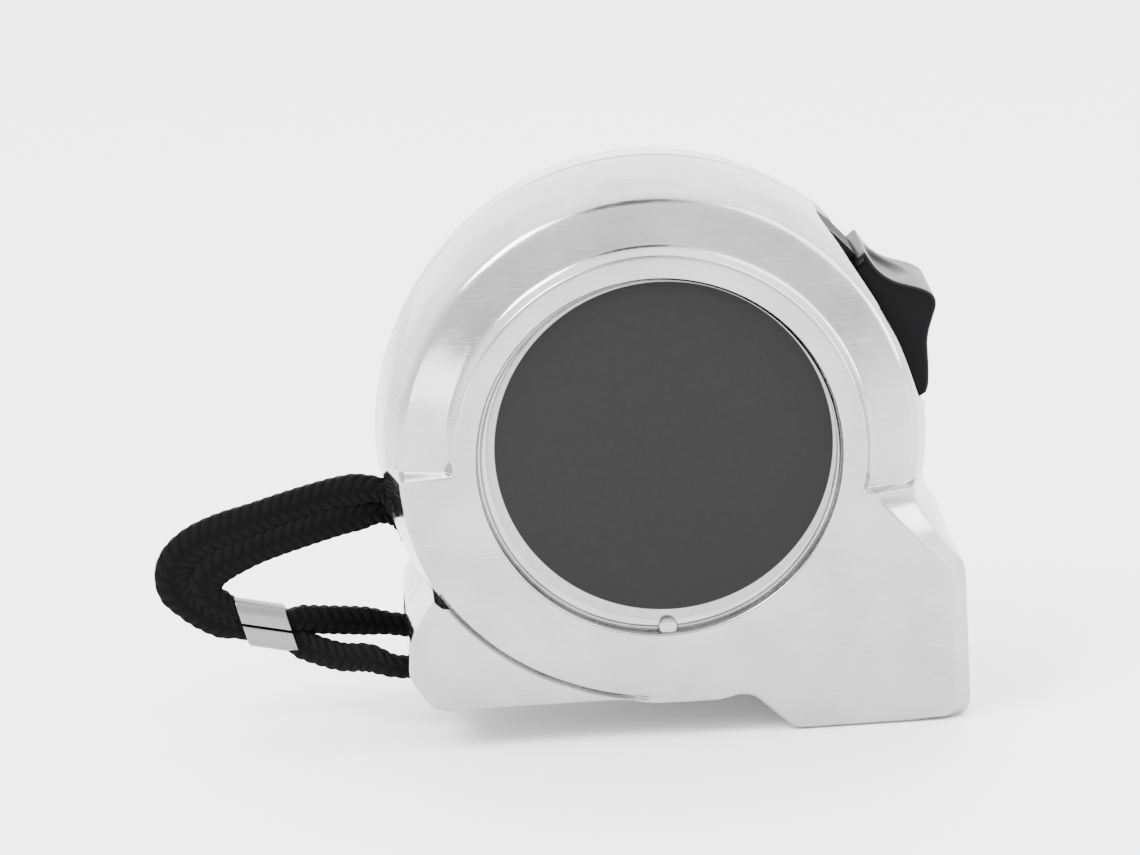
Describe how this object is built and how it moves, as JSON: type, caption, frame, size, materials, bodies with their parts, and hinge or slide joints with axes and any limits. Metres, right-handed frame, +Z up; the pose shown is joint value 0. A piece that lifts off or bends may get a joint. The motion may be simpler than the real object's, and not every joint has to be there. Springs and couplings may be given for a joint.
{
  "type": "tape measure",
  "caption": "Pocket tape measure: a chromed two-shell case with a spring reel, a thumb lock, a wrist strap, a belt clip and a steel blade with an end hook.",
  "frame": {"origin": "on the resting plane of the nose, below the middle of the case and its belt clip", "axes": "+X from the drum towards the nose, where the blade comes out; -Y is the front face; +Y is the rear with the belt clip; +Z up"},
  "size_m": [0.1004, 0.0388, 0.0712],
  "materials": {
    "chrome_shell": "electroplated, fine scratches",
    "label": "satin printed disc, blank",
    "zinc_steel": "zinc plated",
    "bare_steel": "ground",
    "white_plastic": "satin",
    "reel_plastic": "satin moulded",
    "spring_steel": "blued",
    "blade_paint": "satin enamel with black marks",
    "hook_steel": "nickel plated",
    "black_rubber": "matt",
    "black_gloss": "glossy moulded",
    "arm_plastic": "satin",
    "black_braid": "flat herringbone braid",
    "crimp_aluminium": "satin",
    "clip_steel": "bright plated"
  },
  "bodies": {
    "case": {"front_shell": "chrome_shell", "rear_shell": "chrome_shell", "front_label": "label", "rear_label": "label", "case_screws": "zinc_steel", "arbor": "bare_steel", "arbor_screw": "zinc_steel", "reel_washers": "white_plastic", "mainspring": "spring_steel", "tape_feed": "blade_paint", "tape_run": "blade_paint", "mouth_plate": "bare_steel", "mouth_bumper": "black_rubber", "detent_spring": "spring_steel", "strap_pin": "bare_steel", "strap_outer": "black_braid", "strap_inner": "black_braid", "strap_clamp": "crimp_aluminium", "belt_clip": "clip_steel", "clip_screw": "zinc_steel"},
    "reel": {"reel": "reel_plastic", "reel_cover": "reel_plastic", "tape_coil": "blade_paint"},
    "blade": {"tape_blade": "blade_paint", "hook_rivets": "bare_steel"},
    "hook": {"end_hook": "hook_steel"},
    "lock": {"lock_button": "black_gloss", "lock_arm": "arm_plastic", "brake_pad": "black_rubber"}
  },
  "joints": [
    {"name": "tape_pull", "type": "slide", "parent": "case", "child": "blade", "axis": [1, 0, 0], "range_m": [0, 5], "stiffness_N_per_m": 0.3, "springref_m": -2, "deforming": ["tape_run"]},
    {"name": "reel_spin", "type": "hinge", "parent": "case", "child": "reel", "pos_m": [-0.0014, -0.0029, 0.0364], "axis": [0, -1, 0], "continuous": true, "deforming": ["mainspring"]},
    {"name": "hook_float", "type": "slide", "parent": "blade", "child": "hook", "axis": [1, 0, 0], "range_m": [0, 0.001]},
    {"name": "lock_slide", "type": "hinge", "parent": "case", "child": "lock", "pos_m": [-0.0014, -0.0029, 0.0364], "axis": [0, -1, 0], "range_deg": [0, 7]}
  ],
  "couplings": [
    {"joint": "reel_spin", "follows": "tape_pull", "rad_per_m": 41.667}
  ]
}
